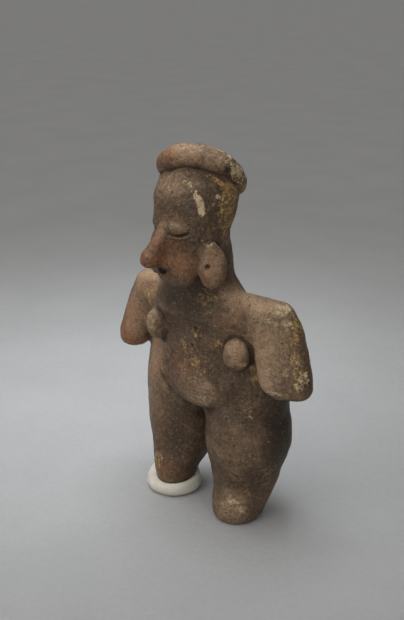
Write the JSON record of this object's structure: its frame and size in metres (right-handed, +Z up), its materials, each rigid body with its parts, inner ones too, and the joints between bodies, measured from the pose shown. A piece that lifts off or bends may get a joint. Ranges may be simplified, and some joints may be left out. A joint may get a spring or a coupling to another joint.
{
  "type": "terracotta figurine",
  "caption": "Standing hand-modelled clay figurine with a rolled headband, slab arms and thick tapering legs, with a putty pad under its shorter foot.",
  "frame": {"origin": "on the ground, under the middle of the figurine's bounding box", "axes": "+Z up, the figurine faces -Y, and its own left arm is toward +X"},
  "size_m": [0.1091, 0.0581, 0.1671],
  "materials": {
    "terracotta": "low-fired burnished clay, unglazed, worn",
    "putty": "matte white putty"
  },
  "bodies": {
    "root": {"figure": "terracotta", "putty": "putty"}
  },
  "joints": []
}
